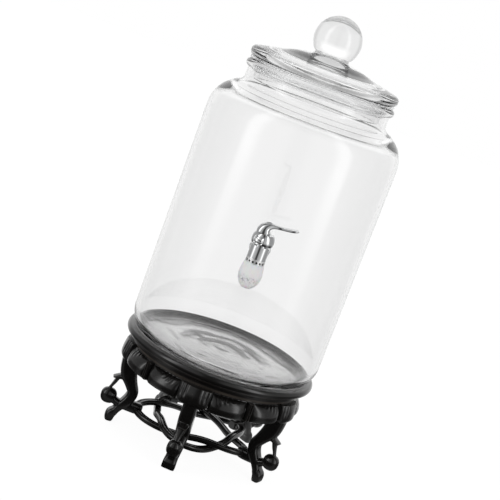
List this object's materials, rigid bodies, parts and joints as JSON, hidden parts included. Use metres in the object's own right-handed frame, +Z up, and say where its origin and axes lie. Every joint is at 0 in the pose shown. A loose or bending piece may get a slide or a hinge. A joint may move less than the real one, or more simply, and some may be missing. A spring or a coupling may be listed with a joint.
{
  "type": "glass beverage dispenser",
  "caption": "Tall clear glass drink jar with a ball-topped glass lid and a chrome lever tap, on a carved black wooden stand with curved legs and an interlaced stretcher.",
  "frame": {"origin": "on the floor, on the jar's axis", "axes": "+Z up along the jar's axis; the tap is at the front, -Y; +X to the right as seen from the front"},
  "size_m": [0.2213, 0.2597, 0.5117],
  "materials": {
    "clear_glass": "clear, polished",
    "black_wood": "black stain under glossy lacquer",
    "plain_wood": "plain",
    "chrome": "polished",
    "brass": "machined",
    "silicone": "milky, matte",
    "black_rubber": "matte",
    "frosted_plastic": "frosted"
  },
  "bodies": {
    "stand": {"stand_frame": "black_wood", "stand_panel": "black_wood", "stand_waist": "black_wood", "apron_1": "black_wood", "apron_2": "black_wood", "apron_3": "black_wood", "apron_4": "black_wood", "apron_5": "black_wood", "leg_1": "black_wood", "leg_2": "black_wood", "leg_3": "black_wood", "leg_4": "black_wood", "leg_5": "black_wood", "stretcher_1": "black_wood", "stretcher_2": "black_wood", "stretcher_3": "black_wood", "stretcher_4": "black_wood", "stretcher_5": "black_wood", "leg_dowels": "plain_wood"},
    "jar": {"jar": "clear_glass", "tap_body": "chrome", "tap_washer_outer": "silicone", "tap_washer_inner": "silicone", "tap_nut": "chrome", "tap_head": "chrome", "outlet_nozzle": "frosted_plastic"},
    "lid": {"lid": "clear_glass", "lid_seal": "silicone"},
    "lever": {"tap_lever": "chrome", "valve_plug": "brass", "plug_orings": "black_rubber", "lever_screw": "chrome"}
  },
  "joints": [
    {"name": "jar_lift", "type": "slide", "parent": "stand", "child": "jar", "axis": [0, 0, 1], "range_m": [0, 0.05]},
    {"name": "lid_lift", "type": "slide", "parent": "jar", "child": "lid", "axis": [0, 0, 1], "range_m": [0, 0.06]},
    {"name": "tap_turn", "type": "hinge", "parent": "jar", "child": "lever", "pos_m": [0, -0.137, 0.286], "axis": [0, 0, 1], "range_deg": [-90, 0]}
  ]
}
